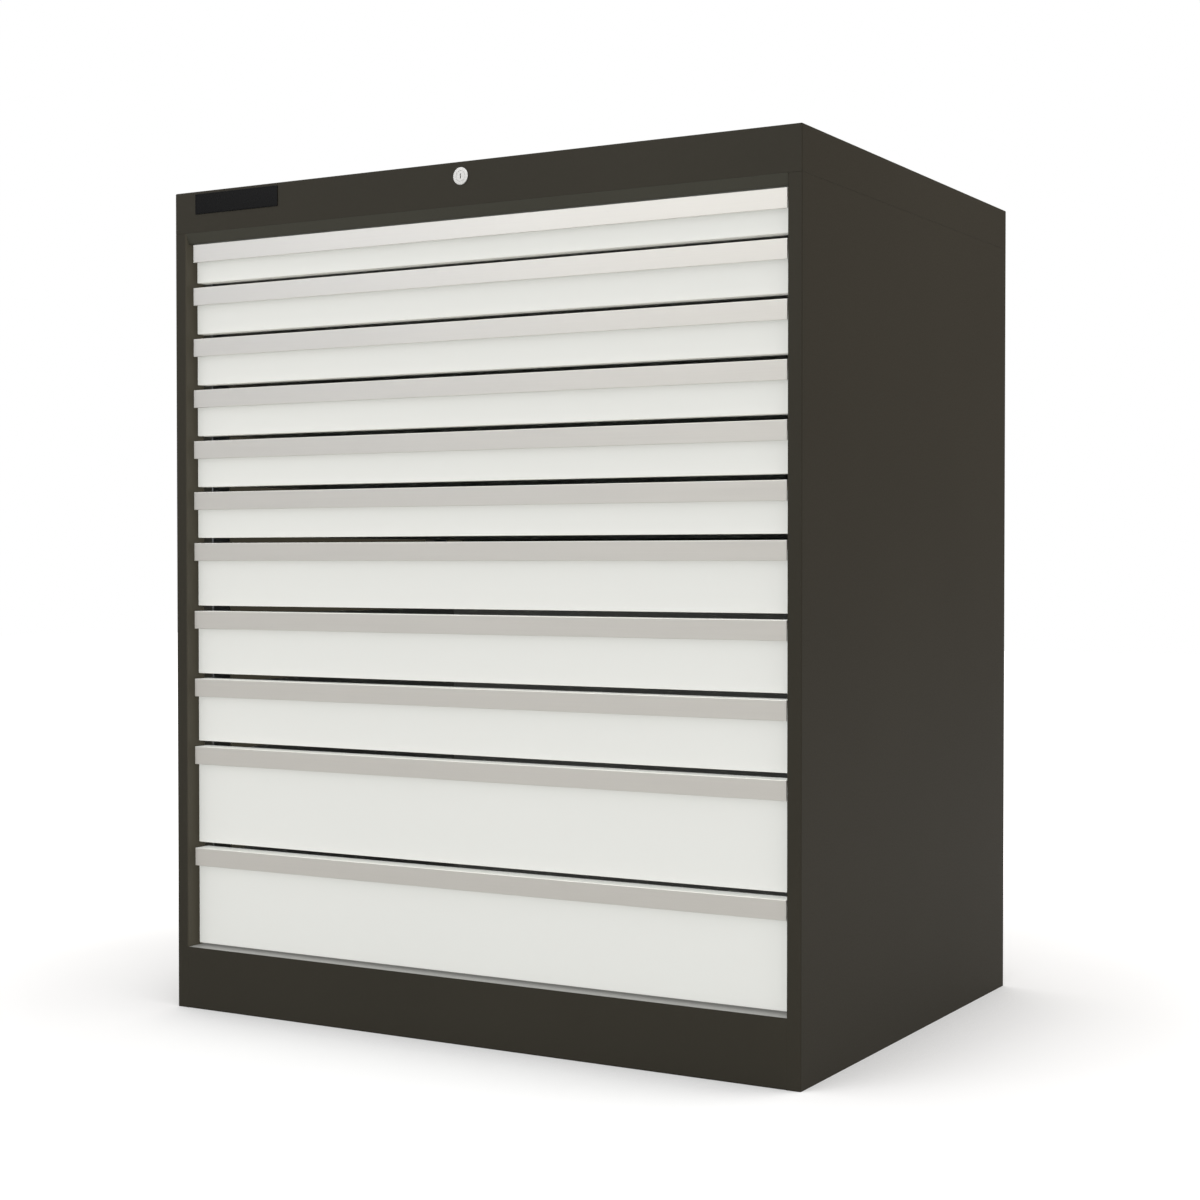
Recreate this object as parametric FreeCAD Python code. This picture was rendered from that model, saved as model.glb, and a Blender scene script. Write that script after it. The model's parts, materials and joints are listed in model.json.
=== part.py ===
import FreeCAD, Part
import math
import os

# A free-standing steel drawer cabinet with eleven full-extension drawers under one central lock.
# Millimetres. X runs to the right, Y to the back and Z up, and the drawers face -Y.
# The origin lies on the floor, under the middle of the cabinet.

os.makedirs("parts", exist_ok=True)

# Housing
cabinet_width = 1010.0
cabinet_depth = 755.0
base_height = 90.0
cap_height = 60.0
header_height = 12.0
header_lean = 3.0
stile_width = 20.0
stile_return = 38.0
rear_flange_width = 20.0
foot_flange_width = 28.5
base_return = 40.0
housing_sheet = 1.5
fold_radius = 0.5
sheet_clearance = 0.2
overcut = 1.0
same_place = 0.001

# Drawer fronts, from the top: one shallow drawer, then the small, medium and large ones.
# A drawer's height is its share of the opening, with half a gap above it and half below.
top_drawer_height = 63.0
small_drawer_height = 75.0
small_drawer_count = 5
medium_drawer_height = 100.0
medium_drawer_count = 3
large_drawer_height = 150.0
large_drawer_count = 2
drawer_gap = 8.0
front_side_gap = 5.5
front_setback = 18.0
front_sheet = 1.2
front_fold_radius = 0.8

# Handle rail along the top of each drawer front
handle_setback = 8.5
handle_height = 26.0
handle_depth = 28.0
handle_wall = 1.6
handle_top_wall = 2.0
handle_hook_height = 12.0
handle_hook_wall = 2.0
handle_edge_radius = 0.6
handle_shelf_gap = 1.0

# Drawer trays
tray_sheet = 1.2
tray_fold_radius = 0.8
tray_floor_lift = 6.0
tray_rim_drop = 10.0
space_behind_trays = 101.0

# Rails, slides and rollers
rail_lift = 8.0
rail_height = 30.0
rail_sheet = 1.5
cabinet_rail_depth = 15.0
cabinet_rail_setback = 50.0
drawer_rail_depth = 14.0
slide_plate = 2.0
slide_gap = 1.0
slide_nose = 13.0
slide_corner_radius = 6.5
roller_gap = 0.3
roller_play = 0.2
roller_bevel = 0.8
axle_radius = 4.0
axle_clearance = 0.05
axle_collar_radius = 6.0
axle_shoulder = 0.6
axle_head = 1.0
axle_web_gap = 1.5
rail_stop = 3.0
rail_stop_gap = 0.5
rollers_per_rail = 3

# Upright posts that carry the cabinet rails
post_setback = 58.0
post_width = 40.0
rear_post_overlap = 27.0

# Rivets of the back panel
rivet_radius = 2.0
rivet_clearance = 0.05
rivet_head_radius = 4.0
rivet_head = 1.5
rivet_head_rounding = 0.9
rivet_tail_radius = 3.0
rivet_tail = 1.2
rivet_inset = 40.0
rivet_count = 8

# Name plate, left blank
plate_width = 152.0
plate_height = 29.5
plate_thickness = 1.2
plate_left_inset = 39.0
plate_top_inset = 4.0
plate_corner_radius = 1.0

# Cylinder lock in the cap
lock_drop = 20.0
lock_flange_radius = 12.0
lock_flange = 1.5
lock_flange_bevel = 0.5
lock_body_radius = 9.5
lock_body_length = 30.0
lock_body_clearance = 0.1
lock_nut_radius = 13.0
lock_nut = 4.0
plug_radius = 7.0
lock_clearance = 0.05
plug_recess = 0.2
plug_tail_gap = 0.3
keyway_width = 1.2
keyway_height = 7.0
keyway_depth = 18.0

# Linkage from the lock to the bar behind the right stile
link_gap = 0.3
link_sheet = 2.5
link_setback = 42.0
cam_radius = 8.0
cam_width = 12.0
cam_pin_radius = 2.5
cam_screw_radius = 4.0
cam_turn = 90.0
crank_drop = 34.0
crank_inset = 15.0
crank_up_arm = 18.0
crank_side_arm = 12.0
crank_width = 9.0
crank_pin_radius = 2.0
bar_tab_margin = 3.0
crank_web_gap = 0.5
pin_play = 0.4
pin_reach = 1.5
crossbar_height = 14.0
crossbar_left_end = 30.0
crossbar_end_margin = 5.0
fork_prong = 5.0
header_web_drop = 12.0
crossbar_screw_inset = 60.0
crossbar_screw_count = 3
screw_radius = 2.0
screw_hole_clearance = 0.05
screw_thread = 3.5
screw_shoulder_radius = 3.0
screw_collar_radius = 4.5
screw_head_radius = 5.0
screw_head = 2.5
screw_play = 0.1
slot_play = 0.2

# Lock bar with one tongue for each drawer
bar_width = 12.0
bar_side_gap = 3.5
bar_foot_lift = 20.0
bar_screw_count = 4
bar_screw_inset = 60.0
tongue_height = 4.0
tongue_clearance = 2.5
catch_lift = 46.0
catch_height = 6.0
catch_depth = 5.5
catch_stand_off = 2.0
catch_side_gap = 2.0

# Places that follow from the sizes above
drawer_heights = [top_drawer_height]
drawer_heights += [small_drawer_height] * small_drawer_count
drawer_heights += [medium_drawer_height] * medium_drawer_count
drawer_heights += [large_drawer_height] * large_drawer_count
opening_top = base_height + sum(drawer_heights)
housing_top = opening_top + header_height
cabinet_height = housing_top + cap_height
half_width = cabinet_width / 2
front_y = -cabinet_depth / 2
back_y = cabinet_depth / 2
wall_inside_x = half_width - housing_sheet
opening_x = half_width - stile_width
back_panel_y = back_y - 2 * housing_sheet

front_x = opening_x - front_side_gap
handle_y = front_y + handle_setback
front_face_y = front_y + front_setback
tray_front_y = handle_y + handle_depth
tray_back_y = back_panel_y - space_behind_trays
drawer_travel = tray_back_y - tray_front_y - 2 * tray_sheet

rail_mouth_x = opening_x - cabinet_rail_depth
plate_outer_x = rail_mouth_x - slide_gap
plate_inner_x = plate_outer_x - slide_plate
tray_x = plate_inner_x - slide_gap - drawer_rail_depth
roller_radius = rail_height / 2 - rail_sheet - roller_gap
axle_room = axle_web_gap + axle_head + 2 * roller_play + axle_shoulder
inner_roller_width = drawer_rail_depth - rail_sheet + slide_gap - axle_room
outer_roller_width = cabinet_rail_depth - rail_sheet + slide_gap - axle_room
roller_stop_distance = rail_stop + rail_stop_gap + roller_radius
drawer_rail_front_y = tray_front_y + tray_sheet
cabinet_rail_front_y = front_y + cabinet_rail_setback
first_inner_roller_y = drawer_rail_front_y + roller_stop_distance
last_inner_roller_y = tray_back_y - roller_stop_distance - drawer_travel / 2
first_outer_roller_y = cabinet_rail_front_y + roller_stop_distance + drawer_travel / 2
last_outer_roller_y = tray_back_y
plate_front_y = first_inner_roller_y - slide_nose
plate_back_y = last_outer_roller_y + slide_nose
cabinet_rail_back_y = last_outer_roller_y + roller_stop_distance

post_front_y = front_y + post_setback
rear_post_y = cabinet_rail_back_y - rear_post_overlap

lock_z = cabinet_height - lock_drop
link_y = front_y + link_setback
header_back_y = front_y + stile_return
header_web_top = lock_z - header_web_drop
plug_back_y = header_back_y
cam_y = plug_back_y
half_turn = math.radians(cam_turn / 2)
cam_pin_x = cam_radius * math.sin(half_turn)
cam_pin_z = lock_z - cam_radius * math.cos(half_turn)
cam_pin_lowest_z = lock_z - cam_radius
crossbar_travel = 2 * cam_pin_x
crank_half_turn = math.asin(cam_pin_x / crank_up_arm)
crank_x = opening_x - crank_inset
crank_z = lock_z - crank_drop
up_pin_x = crank_x + cam_pin_x
up_pin_z = crank_z + crank_up_arm * math.cos(crank_half_turn)
up_pin_top_z = crank_z + crank_up_arm
side_pin_x = crank_x + crank_side_arm * math.cos(crank_half_turn)
side_pin_far_x = crank_x + crank_side_arm
side_pin_z = crank_z - crank_side_arm * math.sin(crank_half_turn)
bar_lift = 2 * crank_side_arm * math.sin(crank_half_turn)
crossbar_z = (up_pin_z + up_pin_top_z) / 2
bar_outer_x = wall_inside_x - bar_side_gap
bar_inner_x = bar_outer_x - bar_width
bar_screw_x = (bar_inner_x + bar_outer_x) / 2
bar_foot_z = base_height + bar_foot_lift


def box(x0, x1, y0, y1, z0, z1):
    return Part.makeBox(x1 - x0, y1 - y0, z1 - z0, FreeCAD.Vector(x0, y0, z0))


def rod_y(x, z, radius, y0, y1):
    # A cylinder that lies along Y.
    return Part.makeCylinder(radius, y1 - y0, FreeCAD.Vector(x, y0, z), FreeCAD.Vector(0, 1, 0))


def rod_x(y, z, radius, x0, x1):
    # A cylinder that lies along X.
    return Part.makeCylinder(radius, x1 - x0, FreeCAD.Vector(x0, y, z), FreeCAD.Vector(1, 0, 0))


def slot_y(x0, z0, x1, z1, radius, y0, y1):
    # A round-ended bar between two centres in the XZ plane, from y0 to y1.
    along = FreeCAD.Vector(x1 - x0, 0, z1 - z0)
    across = FreeCAD.Vector(-along.z, 0, along.x).normalize() * radius
    start = FreeCAD.Vector(x0, y0, z0)
    corners = [start + across, start - across, start + along - across, start + along + across]
    middle = Part.Face(Part.makePolygon(corners + [corners[0]]))
    middle = middle.extrude(FreeCAD.Vector(0, y1 - y0, 0))
    ends = [rod_y(x0, z0, radius, y0, y1), rod_y(x1, z1, radius, y0, y1)]
    return middle.fuse(ends).removeSplitter()


def mirrored(shape):
    return shape.mirror(FreeCAD.Vector(0, 0, 0), FreeCAD.Vector(1, 0, 0))


def edges_where(shape, test):
    # The edges whose two end points both pass the test.
    return [edge for edge in shape.Edges if all(test(vertex.Point) for vertex in edge.Vertexes)]


def rounded_line(points, radii, place):
    # Straight runs joined by tangent arcs. The first and last points stay sharp.
    edges = []
    start = points[0]
    for corner, following, radius in zip(points[1:-1], points[2:], radii):
        before = (corner - start).normalize()
        after = (following - corner).normalize()
        turn = before.getAngle(after)
        cut = radius * math.tan(turn / 2)
        first = corner - before * cut
        last = corner + after * cut
        inward = (after - before).normalize()
        middle = corner + inward * (radius / math.cos(turn / 2) - radius)
        edges.append(Part.LineSegment(place(start), place(first)).toShape())
        edges.append(Part.Arc(place(first), place(middle), place(last)).toShape())
        start = last
    edges.append(Part.LineSegment(place(start), place(points[-1])).toShape())
    return edges, points[0], points[-1]


def folded_sheet(corners, thickness, inside_radius, place, length):
    # A bent sheet: its outline runs along the given corners with the sheet on their left,
    # each bend has the same inside radius, and the section is carried along the length.
    points = [FreeCAD.Vector(u, v, 0) for u, v in corners]
    lefts = []
    for a, b in zip(points, points[1:]):
        run = (b - a).normalize()
        lefts.append(FreeCAD.Vector(-run.y, run.x, 0))
    offset = [points[0] + lefts[0] * thickness]
    near_radii = []
    far_radii = []
    for point, left, next_left in zip(points[1:-1], lefts, lefts[1:]):
        offset.append(point + (left + next_left) * (thickness / (1 + left.dot(next_left))))
        turns_left = left.cross(next_left).z > 0
        near_radii.append(inside_radius + (thickness if turns_left else 0))
        far_radii.append(inside_radius + (0 if turns_left else thickness))
    offset.append(points[-1] + lefts[-1] * thickness)
    near, near_start, near_end = rounded_line(points, near_radii, place)
    far, far_start, far_end = rounded_line(offset, far_radii, place)
    caps = [Part.LineSegment(place(near_end), place(far_end)).toShape()]
    caps.append(Part.LineSegment(place(far_start), place(near_start)).toShape())
    wire = Part.Wire(Part.__sortEdges__(near + far + caps))
    return Part.Face(wire).extrude(length)


def folded_shell(x0, x1, y0, y1, z0, z1, sheet, inside_radius, open_side):
    # A folded box of thin sheet, open on one side: "top", "bottom" or "back".
    outer = box(x0, x1, y0, y1, z0, z1)
    inner_y1 = y1 - sheet
    inner_z0 = z0 + sheet
    inner_z1 = z1 - sheet
    if open_side == "top":
        inner_z1 = z1 + sheet
    if open_side == "bottom":
        inner_z0 = z0 - sheet
    if open_side == "back":
        inner_y1 = y1 + sheet
    inner = box(x0 + sheet, x1 - sheet, y0 + sheet, inner_y1, inner_z0, inner_z1)
    rim = {"top": ("z", z1), "bottom": ("z", z0), "back": ("y", y1)}[open_side]
    inner_rim = {"top": ("z", inner_z1), "bottom": ("z", inner_z0), "back": ("y", inner_y1)}[open_side]

    def folds(shape, axis, level):
        at_rim = edges_where(shape, lambda p: abs(getattr(p, axis) - level) < same_place)
        return [e for e in shape.Edges if not any(e.isSame(rim_edge) for rim_edge in at_rim)]

    outer = outer.makeFillet(inside_radius + sheet, folds(outer, *rim))
    inner = inner.makeFillet(inside_radius, folds(inner, *inner_rim))
    return outer.cut(inner)


def in_plan(z):
    # A section drawn in X and Y.
    return lambda p: FreeCAD.Vector(p.x, p.y, z)


def in_side_view(x):
    # A section drawn in Y and Z.
    return lambda p: FreeCAD.Vector(x, p.x, p.y)


def in_front_view(y):
    # A section drawn in X and Z.
    return lambda p: FreeCAD.Vector(p.x, y, p.y)


def spread(first, last, count):
    # Evenly spaced places, both ends included.
    return [first + (last - first) * i / (count - 1) for i in range(count)]


def save(name, *solids):
    shape = solids[0] if len(solids) == 1 else Part.makeCompound(list(solids))
    for solid in shape.Solids:
        if not solid.isValid() or solid.Volume <= 0:
            raise ValueError(name + " has a bad solid")
    shape.exportStep("parts/" + name + ".step")
    print(name, len(shape.Solids), round(shape.Volume))


def rivet_places():
    heights = spread(rivet_inset, housing_top - rivet_inset, rivet_count)
    x = half_width - rear_flange_width / 2
    return [(side * x, z) for side in (-1, 1) for z in heights]


def rivet_holes():
    radius = rivet_radius + rivet_clearance
    return [rod_y(x, z, radius, back_panel_y - overcut, back_y + overcut) for x, z in rivet_places()]


def side_panel():
    # Right panel: stile and its return in front, flange behind, foot and top flanges inside.
    corners = [(opening_x, front_y + stile_return), (opening_x, front_y), (half_width, front_y)]
    corners += [(half_width, back_y), (half_width - rear_flange_width, back_y)]
    height = FreeCAD.Vector(0, 0, housing_top)
    panel = folded_sheet(corners, housing_sheet, fold_radius, in_plan(0), height)
    flange_x = half_width - housing_sheet - foot_flange_width
    foot_y = front_y + base_return + sheet_clearance
    foot = box(flange_x, wall_inside_x, foot_y, back_panel_y, 0, housing_sheet)
    top_z = housing_top - housing_sheet
    top = box(flange_x, wall_inside_x, post_front_y, back_panel_y, top_z, housing_top)
    return panel.fuse([foot, top]).cut(rivet_holes()).removeSplitter()


def back_panel():
    edge_x = wall_inside_x - fold_radius
    sheet = box(-edge_x, edge_x, back_panel_y, back_y - housing_sheet, 0, housing_top)
    return sheet.cut(rivet_holes())


def back_rivets():
    rivets = []
    for x, z in rivet_places():
        shank = rod_y(x, z, rivet_radius, back_panel_y - rivet_tail, back_y)
        head = rod_y(x, z, rivet_head_radius, back_y, back_y + rivet_head)
        rim = edges_where(head, lambda p: p.y > back_y + rivet_head / 2)
        head = head.makeFillet(rivet_head_rounding, rim)
        tail = rod_y(x, z, rivet_tail_radius, back_panel_y - rivet_tail, back_panel_y)
        rivets.append(shank.fuse([head, tail]).removeSplitter())
    return rivets


def top_cap():
    shell = folded_shell(-half_width, half_width, front_y, back_y, housing_top, cabinet_height,
                         housing_sheet, fold_radius, "bottom")
    hole_radius = lock_body_radius + lock_body_clearance
    return shell.cut(rod_y(0, lock_z, hole_radius, front_y - overcut, front_y + housing_sheet + overcut))


def base_pan():
    # Plinth front, sill and cabinet floor in one folded sheet.
    sill_y = front_y + stile_return + sheet_clearance
    corners = [(sill_y, base_height), (front_y, base_height), (front_y, 0)]
    corners.append((front_y + base_return, 0))
    width = FreeCAD.Vector(2 * opening_x, 0, 0)
    plinth = folded_sheet(corners, housing_sheet, fold_radius, in_side_view(-opening_x), width)
    floor_z = base_height - housing_sheet
    floor = box(-wall_inside_x, wall_inside_x, sill_y, back_panel_y, floor_z, base_height)
    return plinth.fuse(floor).removeSplitter()


def crossbar_screw_xs():
    return spread(crossbar_screw_inset, crank_x - crossbar_screw_inset, crossbar_screw_count)


def front_header():
    # Narrow rail over the top drawer, with the web inside that carries the lock linkage.
    corners = [(front_y, housing_top), (front_y + header_lean, opening_top)]
    corners += [(header_back_y, opening_top), (header_back_y, header_web_top)]
    width = FreeCAD.Vector(2 * opening_x, 0, 0)
    header = folded_sheet(corners, housing_sheet, fold_radius, in_side_view(-opening_x), width)
    hole_radius = screw_radius + screw_hole_clearance
    web_y = header_back_y - housing_sheet
    cuts = [box(-opening_x, opening_x, front_y, web_y, housing_top, housing_top + housing_sheet)]
    for x in crossbar_screw_xs():
        cuts.append(rod_y(x, crossbar_z, hole_radius, web_y - overcut, header_back_y + overcut))
    cuts.append(rod_y(crank_x, crank_z, hole_radius, web_y - overcut, header_back_y + overcut))
    return header.cut(cuts)


def bar_screw_zs():
    return spread(bar_foot_z + bar_screw_inset, side_pin_z - bar_screw_inset, bar_screw_count)


def post(y):
    corners = [(wall_inside_x, y + post_width), (opening_x, y + post_width)]
    corners += [(opening_x, y), (wall_inside_x, y)]
    height = FreeCAD.Vector(0, 0, housing_top - housing_sheet - base_height)
    return folded_sheet(corners, housing_sheet, fold_radius, in_plan(base_height), height)


def upright_posts():
    plain = [post(post_front_y), post(rear_post_y)]
    hole_radius = screw_radius + screw_hole_clearance
    hole_y = (post_front_y - overcut, post_front_y + housing_sheet + overcut)
    holes = [rod_y(bar_screw_x, z, hole_radius, *hole_y) for z in bar_screw_zs()]
    return [plain[0].cut(holes), plain[1], mirrored(plain[0]), mirrored(plain[1])]


def rail(open_x, web_x, z, y0, y1):
    # A channel open towards open_x, with a turned-in stop at each end.
    low = z
    high = z + rail_height
    if web_x > open_x:
        corners = [(open_x, low), (web_x, low), (web_x, high), (open_x, high)]
        inside = (open_x, web_x - rail_sheet)
    else:
        corners = [(open_x, high), (web_x, high), (web_x, low), (open_x, low)]
        inside = (web_x + rail_sheet, open_x)
    length = FreeCAD.Vector(0, y1 - y0, 0)
    channel = folded_sheet(corners, rail_sheet, fold_radius, in_front_view(y0), length)
    low_stop = low + rail_sheet
    high_stop = high - rail_sheet
    front_stop = box(inside[0], inside[1], y0, y0 + rail_stop, low_stop, high_stop)
    back_stop = box(inside[0], inside[1], y1 - rail_stop, y1, low_stop, high_stop)
    return channel.fuse([front_stop, back_stop]).removeSplitter()


def cabinet_rails(module_bottoms):
    rails = []
    for bottom in module_bottoms:
        right = rail(rail_mouth_x, opening_x, bottom + rail_lift,
                     cabinet_rail_front_y, cabinet_rail_back_y)
        rails += [right, mirrored(right)]
    return rails


def drawer_tray(bottom, height):
    # Folded tray, a rail on each side of it and the catch that the lock bar holds.
    floor_z = bottom + tray_floor_lift
    rim_z = bottom + height - tray_rim_drop
    tray = folded_shell(-tray_x, tray_x, tray_front_y, tray_back_y, floor_z, rim_z,
                        tray_sheet, tray_fold_radius, "top")
    right = rail(tray_x + drawer_rail_depth, tray_x, bottom + rail_lift,
                 drawer_rail_front_y, tray_back_y)
    catch_y = link_y + link_sheet + catch_stand_off
    catch_z = bottom + catch_lift
    catch = box(tray_x, opening_x - catch_side_gap, catch_y, catch_y + catch_depth,
                catch_z, catch_z + catch_height)
    return [tray, right, mirrored(right), catch]


def drawer_front(bottom, height):
    # Pressed front with its four edges folded back, and the strip that carries the handle.
    low = bottom + drawer_gap / 2
    handle_top = bottom + height - drawer_gap / 2
    shelf = handle_top - handle_height - handle_shelf_gap
    pan = folded_shell(-front_x, front_x, front_face_y, tray_front_y, low, shelf,
                       front_sheet, front_fold_radius, "back")
    strip = box(-front_x + front_sheet, front_x - front_sheet, tray_front_y - front_sheet,
                tray_front_y, shelf, handle_top - handle_top_wall)
    return [pan, strip]


def drawer_handle(bottom, height):
    # Extruded rail: a face plate to pull, a top wall, and a hook over the front's strip.
    top = bottom + height - drawer_gap / 2
    face = box(-front_x, front_x, handle_y, handle_y + handle_wall, top - handle_height, top)
    cover = box(-front_x, front_x, handle_y, tray_front_y, top - handle_top_wall, top)
    hook_y = tray_front_y - front_sheet
    hook = box(-front_x, front_x, hook_y - handle_hook_wall, hook_y, top - handle_hook_height, top)
    rail_solid = face.fuse([cover, hook]).removeSplitter()

    def long_edge(y, z):
        return edges_where(rail_solid, lambda p: math.hypot(p.y - y, p.z - z) < same_place)

    worn = long_edge(handle_y, top)
    worn += long_edge(handle_y, top - handle_height)
    worn += long_edge(handle_y + handle_wall, top - handle_height)
    return rail_solid.makeFillet(handle_edge_radius, worn)


def roller(y, z, x0, x1):
    wheel = rod_x(y, z, roller_radius, x0, x1)
    wheel = wheel.makeChamfer(roller_bevel, [e for e in wheel.Edges if len(e.Vertexes) == 1])
    return wheel.cut(rod_x(y, z, axle_radius + axle_clearance, x0 - overcut, x1 + overcut))


def axle(y, z, face_x, roller_width, way):
    # Stub axle riveted to the slide plate: shoulder, journal and head, out from face_x.
    ends = [0, axle_shoulder, axle_shoulder + 2 * roller_play + roller_width]
    ends.append(ends[-1] + axle_head)
    radii = [axle_collar_radius, axle_radius, axle_collar_radius]
    lengths = []
    for start, end, radius in zip(ends, ends[1:], radii):
        low = min(face_x + way * start, face_x + way * end)
        lengths.append(rod_x(y, z, radius, low, low + end - start))
    return lengths


def drawer_slides(bottom):
    # The moving middle member on each side: a plate with rollers towards both rails.
    z = bottom + rail_lift + rail_height / 2
    plate = box(plate_inner_x, plate_outer_x, plate_front_y, plate_back_y,
                bottom + rail_lift, bottom + rail_lift + rail_height)
    through = [e for e in plate.Edges if abs(e.Vertexes[0].X - e.Vertexes[1].X) > slide_plate / 2]
    plate = plate.makeFillet(slide_corner_radius, through)
    axles = []
    rollers = []
    inset = axle_shoulder + roller_play
    for y in spread(first_inner_roller_y, last_inner_roller_y, rollers_per_rail):
        axles += axle(y, z, plate_inner_x, inner_roller_width, -1)
        x1 = plate_inner_x - inset
        rollers.append(roller(y, z, x1 - inner_roller_width, x1))
    for y in spread(first_outer_roller_y, last_outer_roller_y, rollers_per_rail):
        axles += axle(y, z, plate_outer_x, outer_roller_width, 1)
        x0 = plate_outer_x + inset
        rollers.append(roller(y, z, x0, x0 + outer_roller_width))
    right = [plate.fuse(axles).removeSplitter()] + rollers
    return right + [mirrored(solid) for solid in right]


def name_plate():
    x0 = -half_width + plate_left_inset
    z1 = cabinet_height - plate_top_inset
    plate = box(x0, x0 + plate_width, front_y - plate_thickness, front_y, z1 - plate_height, z1)
    through = [e for e in plate.Edges if abs(e.Vertexes[0].Y - e.Vertexes[1].Y) > plate_thickness / 2]
    return plate.makeFillet(plate_corner_radius, through)


def lock_housing():
    flange = rod_y(0, lock_z, lock_flange_radius, front_y - lock_flange, front_y)
    rim = [e for e in flange.Edges if len(e.Vertexes) == 1 and e.Vertexes[0].Y < front_y - lock_flange / 2]
    flange = flange.makeChamfer(lock_flange_bevel, rim)
    barrel = rod_y(0, lock_z, lock_body_radius, front_y, front_y + lock_body_length)
    bore = rod_y(0, lock_z, plug_radius + lock_clearance, front_y - lock_flange - overcut,
                 front_y + lock_body_length + overcut)
    nut_y = front_y + housing_sheet
    nut = rod_y(0, lock_z, lock_nut_radius, nut_y, nut_y + lock_nut)
    nut_bore = rod_y(0, lock_z, lock_body_radius + lock_clearance,
                     nut_y - overcut, nut_y + lock_nut + overcut)
    return [flange.fuse(barrel).cut(bore).removeSplitter(), nut.cut(nut_bore)]


def lock_plug():
    # Plug with its keyway, and the cam with the pin that drives the crossbar.
    face_y = front_y - lock_flange + plug_recess
    plug = rod_y(0, lock_z, plug_radius, face_y, plug_back_y)
    keyway = box(-keyway_width / 2, keyway_width / 2, face_y - overcut, face_y + keyway_depth,
                 lock_z - keyway_height / 2, lock_z + keyway_height / 2)
    cam = slot_y(0, lock_z, cam_pin_x, cam_pin_z, cam_width / 2, cam_y, cam_y + link_sheet)
    pin_end = link_y + link_sheet + pin_reach
    pin = rod_y(cam_pin_x, cam_pin_z, cam_pin_radius, cam_y + link_sheet, pin_end)
    screw = rod_y(0, lock_z, cam_screw_radius, cam_y + link_sheet, link_y - plug_tail_gap)
    return plug.cut(keyway).fuse([cam, pin, screw]).removeSplitter()


def lock_crossbar():
    low = crossbar_z - crossbar_height / 2
    high = crossbar_z + crossbar_height / 2
    y0 = link_y
    y1 = link_y + link_sheet
    right_end = up_pin_x + crank_pin_radius + pin_play + crossbar_end_margin
    bar = box(-crossbar_left_end, right_end, y0, y1, low, high)
    slot_half = cam_pin_radius + pin_play
    fork_half = slot_half + fork_prong
    fork_top = cam_pin_z + cam_pin_radius + pin_play
    fork = box(cam_pin_x - fork_half, cam_pin_x + fork_half, y0, y1, high, fork_top)
    slot_foot = cam_pin_lowest_z - cam_pin_radius - pin_play
    cut_y = (y0 - overcut, y1 + overcut)
    cuts = [box(cam_pin_x - slot_half, cam_pin_x + slot_half, *cut_y, slot_foot, fork_top + overcut)]
    pin_slot_radius = crank_pin_radius + pin_play
    cuts.append(slot_y(up_pin_x, up_pin_z, up_pin_x, up_pin_top_z, pin_slot_radius, *cut_y))
    guide_slot_radius = screw_shoulder_radius + slot_play
    for x in crossbar_screw_xs():
        cuts.append(slot_y(x, crossbar_z, x + crossbar_travel, crossbar_z, guide_slot_radius, *cut_y))
    return bar.fuse(fork).removeSplitter().cut(cuts)


def lock_crank():
    y0 = header_back_y + crank_web_gap
    y1 = link_y - link_gap
    pin_end = link_y + link_sheet + pin_reach
    up = slot_y(crank_x, crank_z, up_pin_x, up_pin_z, crank_width / 2, y0, y1)
    side = slot_y(crank_x, crank_z, side_pin_x, side_pin_z, crank_width / 2, y0, y1)
    pins = [rod_y(up_pin_x, up_pin_z, crank_pin_radius, y1, pin_end)]
    pins.append(rod_y(side_pin_x, side_pin_z, crank_pin_radius, y1, pin_end))
    hole = rod_y(crank_x, crank_z, screw_shoulder_radius + screw_play, y0 - overcut, y1 + overcut)
    return up.fuse([side] + pins).removeSplitter().cut(hole)


def lock_bar(module_bottoms):
    # A slotted bar, the tab at its head that the crank lifts, and a tongue for each drawer.
    y0 = link_y
    y1 = link_y + link_sheet
    cut_y = (y0 - overcut, y1 + overcut)
    pin_slot_radius = crank_pin_radius + pin_play
    tab_half = pin_slot_radius + bar_tab_margin
    bar = box(bar_inner_x, bar_outer_x, y0, y1, bar_foot_z, side_pin_z + tab_half)
    tab = box(side_pin_x - tab_half, bar_inner_x, y0, y1, side_pin_z - tab_half, side_pin_z + tab_half)
    pin_slot = slot_y(side_pin_x, side_pin_z, side_pin_far_x, side_pin_z, pin_slot_radius, *cut_y)
    guide_slot_radius = screw_shoulder_radius + slot_play
    guide_slots = []
    for z in bar_screw_zs():
        guide_slots.append(slot_y(bar_screw_x, z - bar_lift, bar_screw_x, z, guide_slot_radius, *cut_y))
    solids = [bar.cut(guide_slots), tab.cut(pin_slot)]
    for bottom in module_bottoms:
        top = bottom + catch_lift - tongue_clearance
        solids.append(box(rail_mouth_x, bar_inner_x, y0, y1, top - tongue_height, top))
    return solids


def shoulder_screw(x, z, seat_y, way, grip_y0, grip_y1, collar_end):
    # A shoulder screw whose thread starts at seat_y and whose head lies beyond the grip.
    steps = [(screw_radius, seat_y - way * screw_thread, seat_y)]
    if collar_end != seat_y:
        steps.append((screw_collar_radius, seat_y, collar_end))
    steps.append((screw_shoulder_radius, collar_end, grip_y1))
    steps.append((screw_head_radius, grip_y1, grip_y1 + way * screw_head))
    lengths = [rod_y(x, z, radius, min(a, b), max(a, b)) for radius, a, b in steps]
    return lengths[0].fuse(lengths[1:]).removeSplitter()


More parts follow.
